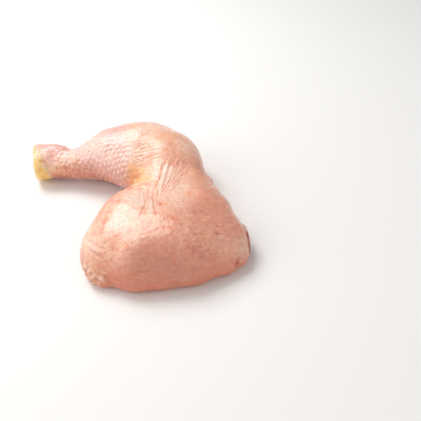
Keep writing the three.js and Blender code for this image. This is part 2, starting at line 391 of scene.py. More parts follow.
# Lines as (pixels, width in mm, rise in mm): the pleats that pull from the knee into the hollow of
# the leg, the wrinkles at the thigh's left edge, the folds below the middle of the thigh, the fold
# at the crotch, the web's edge, the wrinkles of the hock and the nick at the right edge.
LINES = [
    ([(170, 160), (166.5, 169), (164.5, 176), (162.5, 183), (159.5, 191)], 0.9, 0.6),
    ([(187, 167), (180, 175), (174, 182), (169, 190)], 0.7, 0.25),
    ([(153, 197), (152, 204), (151, 211)], 0.7, 0.4),
    ([(178, 158), (175, 165), (171.5, 173), (168.5, 180)], 0.7, 0.2),
    ([(164, 161), (162, 168), (160, 176), (157, 184), (154.5, 191)], 0.8, -0.3),
    ([(156, 187), (153.2, 196), (153.8, 204), (155.3, 211), (157.5, 219)], 0.7, -0.45),
    ([(171, 178), (167.5, 184), (164.5, 189), (161, 194)], 0.6, -0.5),
    ([(190, 161), (183, 169.5), (177.5, 175.5), (172.5, 182), (166, 191)], 0.8, -0.22),
    ([(161, 164), (160, 171), (158, 179), (155, 187)], 0.6, 0.3),
    ([(168, 183), (165, 189), (161.5, 195), (158.5, 201)], 0.6, 0.3),
    ([(183, 178), (177, 185), (172, 192)], 0.6, -0.2),
    ([(150, 186), (148, 194), (146, 201)], 0.6, -0.2),
    ([(175, 157), (174.5, 165), (172.5, 172), (170, 178)], 0.7, -0.18),
    ([(181, 160), (178, 167), (174, 175)], 0.6, -0.2),
    ([(151, 193), (147.5, 199.5), (145, 204.5), (142.5, 210), (139, 218)], 0.6, -0.4),
    ([(159, 190), (157, 198), (157, 207)], 0.6, -0.25),
    ([(143, 192), (145, 198), (145, 204)], 0.6, -0.2),
    ([(87, 238), (95, 244), (101, 248), (108, 249)], 0.7, -0.22),
    ([(86, 249), (95, 253.5), (102, 258), (108, 264), (114, 268)], 0.8, -0.28),
    ([(87, 256), (94, 260), (101, 266), (109, 270)], 0.7, -0.22),
    ([(89, 259), (97, 266), (105, 271), (116, 273)], 0.7, -0.25),
    ([(86, 263), (92, 270), (99, 275), (110, 277)], 0.7, -0.25),
    ([(86, 242), (92, 248), (98, 251.5), (105, 254)], 1.0, 0.3),
    ([(93, 256.5), (103, 262), (112, 268)], 0.9, 0.5),
    ([(94, 270), (102, 274), (110, 275.5)], 0.8, 0.45),
    ([(88, 250), (95, 255), (103, 259), (109, 262)], 0.7, 0.4),
    ([(164, 246), (169, 251.5), (173, 257), (177, 264)], 0.7, -0.3),
    ([(170, 245), (174, 251), (179, 258)], 0.7, -0.2),
    ([(170, 255), (174, 258.5), (179, 264)], 0.7, 0.35),
    ([(121, 190), (128, 189), (134, 186), (142, 184), (151, 183)], 1.4, -0.9),
    ([(128.5, 162), (128.5, 168), (129, 178), (131, 188)], 0.7, -0.12),
    ([(51, 161), (56, 161.5), (61, 163)], 0.8, -0.3),
    ([(58, 169), (65, 167), (71, 167.5)], 0.7, -0.35),
    ([(50, 171), (58, 174), (66, 174.5), (76, 172)], 0.8, -0.3),
    ([(72, 164), (76, 162.5), (80, 160)], 0.7, -0.25),
    ([(36, 160), (41, 161.5), (47, 162)], 0.9, -0.35),
    ([(238, 256), (237, 262), (235, 268)], 0.9, -0.9),
]
LINE_SHOULDERS = 0.4
for pixels, width, rise in LINES:
    ridge(pixels, width, rise, LINE_SHOULDERS)

# Fine pleats beside the large ones.
PLEATS = (
    [(157, 168), (154, 178), (151, 188), (148, 199)],
    [(196, 166), (186, 174), (178, 184), (171, 196)],
)
family(*PLEATS, count=22, width=0.5, rise=-0.16, wander=0.6, longest=0.6)

# Faint long streaks along the thigh's foot.
STREAKS = (
    [(108, 270), (130, 274), (152, 275), (176, 272)],
    [(106, 284), (130, 287), (152, 287), (178, 283)],
)
family(*STREAKS, count=12, width=0.8, rise=-0.2)

# Lumps as (u, v, radius in mm, height in mm): fat along the ragged edge, and bumps at the hock.
LUMPS = [
    (84.0, 268.3, 1.6, 2.2), (87.2, 272.6, 1.4, 1.8), (92.3, 278, 1.8, 2.2),
    (89.5, 280.5, 1.5, 1.2), (102.3, 280.3, 1.7, 1.8), (97.5, 284, 1.6, 1.4),
    (212.4, 180.5, 3.0, 0.7), (106, 284, 1.6, 0.8), (85.5, 262.5, 1.4, 0.8),
    (90.5, 275, 1.0, -0.5), (97.8, 278.8, 1.8, 1.1), (58.5, 158, 1.5, 0.6), (64.5, 158, 1.1, 0.35),
    (70, 157, 1.1, 0.3), (38, 148, 1.8, 0.6), (46, 156, 2.0, 0.3),
]
LUMP_MOAT = 0.35  # the share of a lump's height by which the skin round it sinks
for u, v, radius, rise in LUMPS:
    d = from_pixel(u, v)
    moat = LUMP_MOAT * rise * MM * bell(d / (2 * radius * MM) - 1)
    height += rise * MM * bell(d / (radius * MM)) - moat

# Broad swells of the flesh, as (u, v, radius in mm, height in mm).
SWELLS = [
    (235, 214, 7, 2.9), (226, 202, 8, 0.9), (243, 232, 8, 0.6), (245, 259, 5, 1.2),
    (241, 268, 5, -0.4), (216, 189, 5, 0.8),
]
for u, v, radius, rise in SWELLS:
    height += rise * MM * bell(from_pixel(u, v) / (radius * MM))

# ---- follicles ----

FOLLICLE_GAP = 3.8 * MM
FOLLICLE_RUN = np.array([1, -0.35, 0.1])  # the way in which they are laid, one row after another
FOLLICLE_JITTER = 0.2 * MM


def follicles():
    """Places for the follicles, in rows as close as the gap allows, by laying them one after
    another from the hock on."""
    order = np.argsort(leg.co @ FOLLICLE_RUN + RANDOM.normal(0, FOLLICLE_JITTER, len(leg.co)))
    cells, places = {}, []
    for x, y, z in leg.co[order].tolist():
        i, j, k = (int(c // FOLLICLE_GAP) for c in (x, y, z))
        close = (
            (p[0] - x) ** 2 + (p[1] - y) ** 2 + (p[2] - z) ** 2 < FOLLICLE_GAP**2
            for a in (i - 1, i, i + 1)
            for b in (j - 1, j, j + 1)
            for c in (k - 1, k, k + 1)
            for p in cells.get((a, b, c), ())
        )
        if not any(close):
            cells.setdefault((i, j, k), []).append((x, y, z))
            places.append((x, y, z))
    return places


places = follicles()
follicle_tree = kd_tree(places)
found = [follicle_tree.find(p) for p in leg.co.tolist()]
to_follicle = np.array([f[2] for f in found])
own_follicle = np.array([f[1] for f in found])
follicle_luck = RANDOM.uniform(0, 1, len(places))[own_follicle]

# They stand up on the drumstick, are small pits on the thigh, and stretched flat over the knee.
# In front the pimples end in a sharp line at the web, the smooth skin that the knee pulls tight.
# Above and below that place the line grows softer and wanders more.
WEB_EDGE = cast((128.5, 170))[0]
WEB_TOP = cast((128.5, 152))[1]
WEB_FOOT = 18 * MM
WEB_SHARP = 1.2 * MM
WEB_SOFTER = 7 * MM
WEB_WANDER = 5 * MM
away_from_web = np.maximum(
    smoothstep(-7 * MM, 3 * MM, leg.co[:, 1] - WEB_TOP), smoothstep(WEB_FOOT, 6 * MM, leg.co[:, 2])
)
web_fade = WEB_SHARP + WEB_SOFTER * away_from_web
web_wander = (WEB_SHARP + WEB_WANDER * away_from_web) * grain(leg.co, 9 * MM, 3)
from_web = leg.co[:, 0] - WEB_EDGE - web_wander
THIGH_EDGE = cast((127, 192))[1]
CROTCH = cast((124, 189))[1]
on_thigh = smoothstep(0, -16 * MM, leg.co[:, 1] - THIGH_EDGE)
FACING_ROUNDS = 12
faces_hock = leg.smoothed(NORMAL @ HOCK_OUT, FACING_ROUNDS)
on_drumstick = (
    smoothstep(1, -1, from_web / web_fade)
    * smoothstep(-3 * MM, 1 * MM, leg.co[:, 1] - CROTCH)
    * np.maximum(smoothstep(0.92, 0.75, faces_hock), smoothstep(60 * MM, 50 * MM, up_shank))
)
FOLLICLE_RISE = 0.7 * MM
PIMPLE_RADIUS = 1.45 * MM
PIMPLE_MIDDLE = 0.3  # the share of a pimple that makes up for the dips round it
PIMPLE_TRACE = 0.06  # what is left of the pimples off the drumstick
PIT_SHARE = 0.22  # how deep a pit is beside a pimple's height
STRETCHED_MARKS = [(114, 129, 13, 0.75), (126, 134, 10, 0.6), (98, 138, 8, 0.4)]
past_hock = smoothstep(12 * MM, 24 * MM, up_shank)
stretched = near_marks(STRETCHED_MARKS)
pimpled = PIMPLE_TRACE + (1 - PIMPLE_TRACE) * on_drumstick * past_hock * (1 - stretched)
rough = pimpled - PIT_SHARE * on_thigh * (1 - calm)
pimple = bell(to_follicle / PIMPLE_RADIUS)
# Some stand hardly a third as high as FOLLICLE_RISE, and others half as high again.
height += FOLLICLE_RISE * rough * (pimple - PIMPLE_MIDDLE) * (0.35 + 1.1 * follicle_luck)

# ---- the cuff's border ----

# The cuff is longest in front, low down, and shortest on the far side.
CUFF_MIDDLE = 8.5 * MM
CUFF_SLANT = 5.5 * MM
CUFF_FRONT = np.array(Vector((0, -0.75, -0.65)))
round_hock = leg.co - HOCK_CUT
round_hock -= np.outer(round_hock @ HOCK_OUT, HOCK_OUT)
to_front = round_hock @ CUFF_FRONT / np.linalg.norm(round_hock, axis=1)
wavy = 1.2 * MM * grain(leg.co, 6 * MM, 8) + 0.5 * MM * grain(leg.co, 2.2 * MM, 17)
cuff_reach = CUFF_MIDDLE + CUFF_SLANT * to_front + wavy - up_shank  # to the border, in metres

# ---- paint ----

# Marks as (u, v, radius in mm, strength): the tones that stand out in the photograph.
YELLOW_MARKS = [
    (136, 173, 6.5, 1.0), (132, 181, 5.0, 1.0), (144, 178, 4.0, 1.0), (131, 169, 4.0, 1.0),
    (140, 174, 5.0, 1.0), (138, 182, 4.0, 0.9), (147, 180, 3.0, 0.7), (150, 138, 14, 0.3),
    (170, 136, 10, 0.3), (97, 262, 10, 0.05), (190, 192, 12, 0.25), (88, 246, 6, 0.1),
    (76, 164, 5, 0.5), (62, 167, 5, 0.5), (53, 172, 4, 0.6), (93, 275, 7, 0.35), (52, 170, 5, 0.7),
    (58, 171, 6, 0.6), (66, 172, 6, 0.4), (160, 206, 9, 0.35),
]
STAIN_MARKS = [
    (160.5, 204, 2.2, 1.0), (172, 219, 2.5, 0.8), (170, 228, 2.8, 0.9), (171, 144, 2.3, 0.7),
    (106, 219, 1.8, 0.9), (104.5, 223, 1.8, 1.0), (102.5, 228, 2.1, 1.0), (101, 232, 1.7, 0.8),
    (119, 201, 2.3, 0.7), (156, 213, 1.5, 0.8), (154, 207, 1.1, 0.7), (110, 212, 1.7, 0.7),
    (167, 215, 2.3, 0.6), (189, 193, 2.0, 0.7), (125, 202, 1.6, 0.6), (202, 234, 1.8, 0.6),
    (158, 228, 1.7, 0.6), (117, 236, 2.1, 0.6), (143, 208, 2.1, 0.7), (141, 213, 1.4, 0.6),
    (108, 278, 3.4, 0.5), (113, 277, 3.0, 0.4), (138, 175.5, 3.0, 0.45), (95, 281, 2.5, 0.6),
    (88, 276.5, 1.8, 0.6), (103, 284.5, 3.5, 0.5), (95, 176, 8, 0.35), (108, 179, 8, 0.35),
    (80, 173, 7, 0.3), (68, 171, 6, 0.35), (99, 266, 6, 0.2), (150, 232, 1.5, 0.5),
    (129, 231, 1.8, 0.5), (143, 228, 1.6, 0.5), (150, 156, 2.1, 0.5), (143, 157, 1.6, 0.4),
    (166, 149, 2.3, 0.4), (94, 232, 2.3, 0.5), (112, 247, 1.8, 0.5), (126, 248, 1.7, 0.5),
]
# Painted shade: darker skin on the thigh's right and middle, under the drumstick, along the thigh's
# foot and at the knee's right, where other parts shade it or it turns away from the light.
PAINTED_SHADE_MARKS = [
    (195, 185, 14, 0.7), (182, 213, 12, 0.6), (205, 205, 14, 0.9), (214, 193, 8, 0.7),
    (222, 212, 8, 0.35), (232, 210, 8, 0.8), (188, 198, 10, 0.4), (140, 262, 12, 0.6),
    (160, 268, 12, 0.5), (200, 228, 12, 0.3), (172, 200, 7, 0.4), (140, 240, 9, 0.4),
    (102, 178, 10, 1.0), (84, 174, 8, 0.7), (118, 180, 7, 0.6), (170, 233, 10, 0.6),
    (180, 240, 9, 0.5), (160, 238, 8, 0.4), (171, 250, 8, 0.4), (112, 169, 9, 0.5),
    (122, 171, 7, 0.6), (172, 228, 8, 0.4), (160, 143, 8, 0.45), (178, 138, 7, 0.4),
    (180, 277, 9, 0.5), (196, 278, 8, 0.4), (203, 164, 7, 1.0), (198, 155, 6, 0.5),
]
# Pinkish red: the skin's own blush along the right edge and on the shank, and painted shade under
# the drumstick, along the thigh's foot and on its right side.
BLUSH_AND_SHADE_MARKS = [
    (212.5, 181, 2.5, 0.9), (218, 193, 2.5, 0.8), (225, 200, 2.5, 0.8), (232, 207, 2.5, 0.8),
    (238, 215, 2.5, 0.8), (243, 223, 2.5, 0.7), (207, 171, 2.5, 0.6), (242, 263, 3.0, 0.8),
    (60, 172, 7, 0.8), (70, 174, 8, 0.7), (53, 158, 5, 0.5), (63, 149, 5, 0.7), (48, 148, 6, 0.4),
    (85, 177, 8, 0.6), (100, 180, 9, 0.7), (113, 184, 9, 0.8), (228, 222, 9, 0.5),
    (238, 238, 9, 0.25), (205, 245, 12, 0.4), (150, 270, 16, 0.4), (185, 270, 16, 0.5),
    (150, 286, 14, 0.6), (120, 284, 10, 0.6), (205, 275, 14, 0.5), (238, 262, 7, 0.25),
    (170, 160, 6, 0.3), (180, 172, 4, 0.35), (104, 228, 3, 0.4), (205, 206, 11, 0.55),
    (218, 212, 10, 0.4), (196, 196, 8, 0.35), (92, 172, 8, 0.7), (104, 176, 8, 0.8),
    (115, 181, 7, 0.7), (78, 173, 7, 0.6), (112, 282, 8, 0.7), (205, 168, 7, 0.6),
    (214, 190, 6, 0.5),
]
RED_MARKS = [
    (62, 177, 4, 0.9), (68, 176.5, 3, 0.7), (57, 176, 3, 0.5), (57, 169, 1.6, 0.5),
    (66, 169, 1.8, 0.5), (76, 163, 1.6, 0.4), (64, 150, 2.0, 0.5), (237, 264, 1.8, 0.8),
    (188, 247, 1.4, 0.7), (194, 248, 1.6, 0.5), (200, 247, 1.2, 0.5), (90.5, 275, 1.5, 0.9),
    (85, 271, 1.1, 0.5), (95, 281, 1.6, 0.5), (217, 226, 1.4, 0.4), (216, 234, 1.4, 0.6),
    (182, 225, 1.6, 0.4), (207, 226, 1.2, 0.3), (213, 182, 2.0, 0.4), (124, 189, 2.0, 0.25),
    (42, 162, 1.1, 0.5), (138, 176, 2.6, 0.3),
]
# Pale tones: the skin's own cream fat lumps and pale patches, and painted highlights and painted
# light on the thigh's upper left, the drumstick's top, the knee and the pleats, and on lumps and
# hollows that lie in shade.
PALE_AND_PAINTED_LIGHT_MARKS = [
    (84.5, 268.5, 1.7, 0.9), (87.5, 273, 1.5, 0.9), (92.3, 278, 1.9, 1.0),
    (102.3, 280.3, 1.8, 0.9), (98, 284, 1.8, 0.5), (163, 182, 2.4, 0.6), (167, 168, 2.4, 0.5),
    (117, 223, 9, 0.7), (127, 206, 8, 0.25), (93, 229, 6, 0.5), (88, 240, 5, 0.4),
    (95, 277, 4, 0.3), (88, 271, 4, 0.3), (94, 144, 12, 0.6), (150, 150, 11, 0.55),
    (140, 198, 9, 0.35), (36, 156, 3, 0.6), (152, 204, 1.6, 0.6), (58.5, 158, 1.8, 0.6),
    (244, 240, 3, 0.4), (134, 151, 7, 0.75), (244, 250, 3, 0.4), (93, 248, 4, 0.6),
    (103, 263, 4, 0.2), (101, 274, 3, 0.3), (98, 279, 2.5, 0.5), (84, 265, 2, 0.6),
    (92, 247, 7, 0.45), (186, 147, 9, 0.5), (150, 127, 13, 0.65), (166, 176, 9, 0.65),
    (152, 203, 9, 0.4), (62, 163, 6, 0.5), (105, 152, 9, 0.3), (148, 172, 4, 0.5),
    (45, 157, 4, 0.5), (133, 197, 9, 0.85), (142, 203, 8, 0.75), (149, 210, 7, 0.5),
    (175, 197, 9, 0.5), (180, 187, 7, 0.4), (165, 190, 7, 0.35), (136, 160, 6, 0.5),
    (142, 134, 7, 0.45), (69, 157, 5, 0.4), (106, 268, 6, 0.2), (55, 161, 4, 0.5),
    (180, 205, 6, 0.3), (172, 170, 6, 0.3), (53, 167, 4, 0.5), (240, 251, 8, 0.4),
]
# Mauve: the skin's own veins, patches, a nick and the drumstick's lilac top, and painted shade over
# the lower middle of the thigh.
MAUVE_AND_SHADE_MARKS = [
    (154, 255, 12, 0.25), (146, 250, 6, 0.15), (160, 258, 7, 0.3), (168, 250, 6, 0.3),
    (136, 260, 7, 0.25), (175, 262, 8, 0.3), (194.5, 206, 2.5, 0.6), (195, 213, 2.2, 0.7),
    (193.5, 222, 2.0, 0.7), (119, 267, 3, 0.5), (228, 219, 6, 0.6), (184, 163, 4, 0.5),
    (214, 224, 5, 0.4), (236, 262, 2, 0.9), (176, 165, 4, 0.4), (123, 178, 5, 0.2),
    (114, 130, 11, 0.35),
]
DASH_MARKS = [
    (215, 228, 15, 1.0), (200, 244, 12, 0.8), (226, 216, 10, 0.9), (234, 240, 10, 0.7),
    (196, 214, 8, 0.6), (185, 226, 9, 0.5), (150, 232, 12, 0.4), (150, 281, 14, 0.55),
    (180, 277, 12, 0.5), (122, 282, 9, 0.5),
]
PLEAT_MARKS = [(163, 178, 12, 1.0), (174, 172, 10, 0.9), (154, 200, 9, 0.9), (182, 168, 9, 0.7)]
# Painted warm shade under the drumstick and the shank.
PAINTED_WARM_SHADE_MARKS = [
    (58, 171, 5, 0.6), (66, 172, 6, 0.8), (75, 173, 6, 0.8), (85, 175, 6, 0.8), (94, 177, 6, 0.9),
    (103, 179, 6, 0.9), (111, 182, 6, 0.9), (119, 185, 5, 0.8), (78, 167, 4, 0.4),
    (64, 168, 5, 0.5), (212, 200, 8, 0.3),
]
KNEE_MARKS = [(145, 150, 15, 1.0), (158, 142, 13, 0.8), (140, 142, 10, 0.7), (150, 162, 9, 0.8)]
# Where the lumps along the thigh's edge take no painted warm shade.
NO_PAINTED_WARM_SHADE_MARKS = [(86, 269, 5, 0.8), (93, 277, 6, 0.9), (102, 280, 5, 0.8)]

# Painted warm shade, standing in for warm light bounced up from below: the skin is painted warmer
# towards the leg's foot, but less where it faces down, and under the drumstick by the marks.
FOOT_TOP, FOOT_LOW = 24 * MM, 4 * MM
faces_down = smoothstep(-0.35, -0.85, NORMAL[:, 2])
painted_warm_shade = smoothstep(FOOT_TOP, FOOT_LOW, leg.co[:, 2]) * (1 - 0.6 * faces_down)
painted_warm_shade = np.maximum(painted_warm_shade * (1 - near_marks(NO_PAINTED_WARM_SHADE_MARKS)), near_marks(PAINTED_WARM_SHADE_MARKS))

patchy = smoothstep(-0.5, 0.4, grain(leg.co, 18 * MM, 7))
SPECK_LUCK = 0.35  # the share of the follicles with no dark speck
speck = smoothstep(0.95 * MM, 0.1 * MM, to_follicle) * (follicle_luck > SPECK_LUCK)
cuff_glow = 0.5 * smoothstep(-6 * MM, 1 * MM, cuff_reach)
paint = {
    "yellow": np.maximum(near_marks(YELLOW_MARKS), cuff_glow),
    "stain": near_marks(STAIN_MARKS),
    "painted_shade": near_marks(PAINTED_SHADE_MARKS),
    "blush_and_painted_shade": near_marks(BLUSH_AND_SHADE_MARKS),
    "red": near_marks(RED_MARKS),
    "pale_and_painted_light": near_marks(PALE_AND_PAINTED_LIGHT_MARKS),
    "mauve_and_painted_shade": near_marks(MAUVE_AND_SHADE_MARKS),
    "pimple": pimple * on_drumstick * past_hock * (1 - stretched) * (1 - 0.6 * painted_warm_shade),
    "speck": speck * on_thigh * (0.3 + 0.7 * patchy) * (1 - 0.6 * calm),
    "lilac": on_drumstick,
    "painted_warm_shade": painted_warm_shade,
    "painted_furrow_shade": painted_furrow_shade,
    "knee": near_marks(KNEE_MARKS),
    "pleat": near_marks(PLEAT_MARKS),
    "dash": near_marks(DASH_MARKS),
}

# ---- pieces ----


def only_clean(faces):
    """The largest island of these faces, without those that meet the rest at one corner only."""
    n = len(leg.co)
    while True:
        edges, uses = np.unique(edges_of(faces), axis=0, return_counts=True)
        island = island_of(n, edges)
        names, sizes = np.unique(island[faces[:, 0]], return_counts=True)
        border = np.bincount(edges[uses == 1].ravel(), minlength=n)
        keep = (island[faces[:, 0]] == names[sizes.argmax()]) & (border[faces] <= 2).all(1)
        if keep.all():
            return faces, edges[uses == 1]
        faces = faces[keep]


def along_border(values, border, rounds):
    """Evens out values along the border's loops of edges."""
    a, b = border.T
    n = len(leg.co)
    on_it = np.unique(border)
    for _ in range(rounds):
        total = gather(n, a, values[b]) + gather(n, b, values[a])
        values = values.copy()
        values[on_it] = (values[on_it] + total[on_it] / 2) / 2
    return values


def distance_from(points, co):
    """How far each of co is from the nearest of the points."""
    near = kd_tree(points)
    return np.array([near.find(p)[2] for p in co.tolist()])


def give_paint(mesh, colors, source):
    """Lays values on a mesh's vertices. source says which value each vertex takes."""
    for name, values in colors.items():
        layer = mesh.attributes.new(name, "FLOAT", "POINT")
        layer.data.foreach_set("value", values[source].astype(np.float32))


BORDER_ROUNDS = 10
SHEET_HIDDEN = 4 * MM  # further in than this from its border, a sheet's lower side is thinned out


def sheet_piece(name, co, inside, thickness, colors):
    """A closed sheet of skin: the faces of the leg whose corners are all inside, at co, and a layer
    below them at each vertex's thickness. Both meet at a rounded lip along the border. Gives the
    piece, and how far each vertex is from that border."""
    faces, border = only_clean(leg.faces[inside[leg.faces].all(1)])
    co = along_border(co, border, BORDER_ROUNDS)
    edge = np.unique(border)
    d = distance_from(co[edge], co)
    lip = np.clip(1 - d / (thickness / 2), 0, 1)
    deep = thickness * np.sqrt(1 - lip * lip)
    upper = co - NORMAL * ((thickness - deep) / 2)[:, None]
    lower = upper - NORMAL * deep[:, None]
    used = np.unique(faces)
    below = np.setdiff1d(used, edge)
    number = np.zeros(len(co), int)
    number[used] = np.arange(len(used))
    top = number[faces]
    number[below] = len(used) + np.arange(len(below))
    quads = np.concatenate([top, number[faces][:, ::-1]])
    piece = new_object(name, np.concatenate([upper[used], lower[below]]), quads.tolist())
    give_paint(piece.data, colors, np.concatenate([used, below]))
    thin_out(piece, quads, np.concatenate([np.zeros(len(used), bool), d[below] > SHEET_HIDDEN]))
    return piece, d


THINNED = 0.8  # the share of the hidden faces that goes


def thin_out(piece, quads, hidden):
    """Thins out the faces whose corners are all hidden, and shades the piece smooth."""
    group = piece.vertex_groups.new(name="hidden")
    group.add(np.flatnonzero(hidden).tolist(), 1, "REPLACE")
    fewer = piece.modifiers.new("fewer", "DECIMATE")
    fewer.vertex_group = group.name
    fewer.ratio = 1 - THINNED * hidden[quads].all(1).mean()
    applied(piece)
    piece.vertex_groups.clear()
    piece.data.shade_smooth()


# ---- materials ----


def linear(red, green, blue):
    """An sRGB colour, 0 to 255, as Blender's linear one."""
    share = np.array([red, green, blue]) / 255
    curve = np.where(share > 0.04045, ((share + 0.055) / 1.055) ** 2.4, share / 12.92)
    return (*curve.tolist(), 1.0)


WET_IOR = 1.4


class Nodes:
    """A material's node tree, with short ways to add what these materials need."""

    def __init__(self, name):
        self.material = bpy.data.materials.new(name)
        self.material.use_nodes = True
        self.tree = self.material.node_tree
        self.shader = self.tree.nodes["Principled BSDF"]
        self.place = self.add("ShaderNodeTexCoord").outputs["Object"]

    def add(self, kind, **settings):
        node = self.tree.nodes.new(kind)
        for name, value in settings.items():
            setattr(node, name, value)
        return node

    def put(self, value, socket):
        if isinstance(value, bpy.types.NodeSocket):
            self.tree.links.new(value, socket)
        else:
            socket.default_value = value

    def paint(self, name):
        return self.add("ShaderNodeAttribute", attribute_name=name).outputs["Fac"]

    def noise(self, size, detail=3.0, rough=0.55, stretch=1.0, along=(1, 0, 0)):
        """Noise from 0 to 1 with features of that size in metres, drawn out along a direction."""
        turn = self.add("ShaderNodeMapping")
        self.put(self.place, turn.inputs["Vector"])
        onto_x = Vector(along).rotation_difference(Vector((1, 0, 0)))
        turn.inputs["Rotation"].default_value = onto_x.to_euler()
        drawn = self.add("ShaderNodeMapping")
        self.put(turn.outputs[0], drawn.inputs["Vector"])
        drawn.inputs["Scale"].default_value = (1 / stretch, 1, 1)
        node = self.add("ShaderNodeTexNoise")
        self.put(drawn.outputs[0], node.inputs["Vector"])
        node.inputs["Scale"].default_value = 1 / size
        node.inputs["Detail"].default_value = detail
        node.inputs["Roughness"].default_value = rough
        return node.outputs[0]

    def cells(self, size):
        """The distance to the middle of the nearest cell of that size, about 0 to 1."""
        node = self.add("ShaderNodeTexVoronoi")
        self.put(self.place, node.inputs["Vector"])
        node.inputs["Scale"].default_value = 1 / size
        return node.outputs["Distance"]

    def product(self, a, b):
        node = self.add("ShaderNodeMath", operation="MULTIPLY")
        self.put(a, node.inputs[0])
        self.put(b, node.inputs[1])
        return node.outputs[0]

    def ramp(self, value, low, high, to_low=0.0, to_high=1.0):
        """A smooth step between low and high."""
        node = self.add("ShaderNodeMapRange", interpolation_type="SMOOTHSTEP")
        self.put(value, node.inputs["Value"])
        self.put(low, node.inputs["From Min"])
        self.put(high, node.inputs["From Max"])
        self.put(to_low, node.inputs["To Min"])
        self.put(to_high, node.inputs["To Max"])
        return node.outputs[0]

    def mix(self, share, a, b):
        node = self.add("ShaderNodeMix", data_type="RGBA")
        self.put(share, node.inputs["Factor"])
        self.put(a, node.inputs[6])  # the colours A and B, whose names the node uses four times
        self.put(b, node.inputs[7])
        return node.outputs[2]

    def times(self, value, name):
        """The value where that paint lies."""
        return self.product(value, self.paint(name))

    def over(self, color, mask, most, tint):
        """Lays a tint over a colour where the mask is, at most that share of it. The mask is a
        value or the name of a paint."""
        if isinstance(mask, str):
            mask = self.paint(mask)
        return self.mix(self.product(mask, most), color, linear(*tint))

    def bump(self, value, depth, before=None):
        """Relief of that depth in metres."""
        node = self.add("ShaderNodeBump")
        self.put(value, node.inputs["Height"])
        node.inputs["Distance"].default_value = depth
        if before is not None:
            self.put(before, node.inputs["Normal"])
        return node.outputs[0]

    def finish(self, color, roughness, normal, scatter, radius, coat, coat_roughness):
        """Sets the shader. radius is how far red, green and blue light wanders under the surface,
        in metres."""
        shader = self.shader.inputs
        self.put(color, shader["Base Color"])
        self.put(roughness, shader["Roughness"])
        self.put(normal, shader["Normal"])
        shader["IOR"].default_value = WET_IOR
        shader["Subsurface Weight"].default_value = scatter
        shader["Subsurface Radius"].default_value = radius
        shader["Subsurface Scale"].default_value = 1.0
        shader["Coat Weight"].default_value = coat
        shader["Coat Roughness"].default_value = coat_roughness
        return self.material


# The ways in which the wrinkles of the knee, the pleats and the meat's bundles run.
KNEE_RUN = cast((158, 148)) - cast((132, 158))
PLEAT_RUN = cast((154, 200)) - cast((172, 165))
MEAT_RUN = np.array([-0.553, 0.833, 0])
SCALE = 2.6 * MM  # the size of the cuff's scales

# Tones over the skin's own, as (paint, share at most, colour), the last on top. Some of them are
# painted shade and painted light.
SKIN_LAYERS = [
    ("lilac", 0.7, (240, 198, 194)),
    ("painted_warm_shade", 0.8, (214, 122, 88)),
    ("blush_and_painted_shade", 0.75, (216, 116, 100)),
    ("mauve_and_painted_shade", 0.7, (192, 120, 118)),
    ("yellow", 0.8, (252, 194, 124)),
    ("painted_shade", 0.7, (198, 138, 114)),
    ("pale_and_painted_light", 0.8, (253, 230, 214)),
    ("stain", 0.9, (214, 118, 64)),
    ("speck", 0.75, (204, 116, 78)),
    # painted shade in the creases
    ("painted_furrow_shade", 0.55, (234, 138, 98)),
    ("red", 0.8, (170, 52, 46)),
    ("pimple", 0.45, (253, 234, 226)),
]


def skin_material():
    n = Nodes("raw_skin")
    blotch = n.ramp(n.noise(16 * MM), 0.38, 0.66)
    mottle = n.ramp(n.noise(4 * MM, 4), 0.4, 0.68)
    color = n.over(linear(247, 198, 168), blotch, 0.7, (236, 166, 138))
    color = n.over(color, mottle, 0.45, (228, 150, 122))
    rosy = n.ramp(n.noise(7 * MM, 3), 0.5, 0.66)
    color = n.over(color, rosy, 0.3, (222, 142, 140))
    grit = n.ramp(n.noise(1.9 * MM, 3, 0.65), 0.4, 0.62)
    for layer in SKIN_LAYERS:
        color = n.over(color, *layer)
    color = n.over(color, grit, 0.3, (214, 134, 108))
    dash = n.ramp(n.noise(2.1 * MM, 3, 0.6, 2.6, ACROSS_THIGH), 0.55, 0.7)
    color = n.over(color, n.times(dash, "dash"), 0.6, (192, 98, 96))
    light = n.ramp(n.noise(1.7 * MM, 3, 0.6, 3.2, ACROSS_THIGH), 0.5, 0.66)
    color = n.over(color, n.times(light, "dash"), 0.4, (240, 194, 168))
    fine = n.bump(n.noise(0.9 * MM, 3, 0.6), 0.16 * MM)
    pores = n.bump(n.cells(1.6 * MM), 0.2 * MM, fine)
    wrinkles = n.noise(1.3 * MM, 2, 0.5, 7, KNEE_RUN)
    knee = n.bump(n.times(wrinkles, "knee"), 0.5 * MM, pores)
    pleats = n.noise(1.4 * MM, 2, 0.5, 9, PLEAT_RUN)
    pleated = n.bump(n.times(pleats, "pleat"), 0.7 * MM, knee)
    roughness = n.ramp(n.noise(3 * MM, 3), 0.3, 0.7, 0.32, 0.5)
    wander = (1.6 * MM, 0.7 * MM, 0.4 * MM)
    return n.finish(color, roughness, pleated, 0.3, wander, coat=0.5, coat_roughness=0.22)


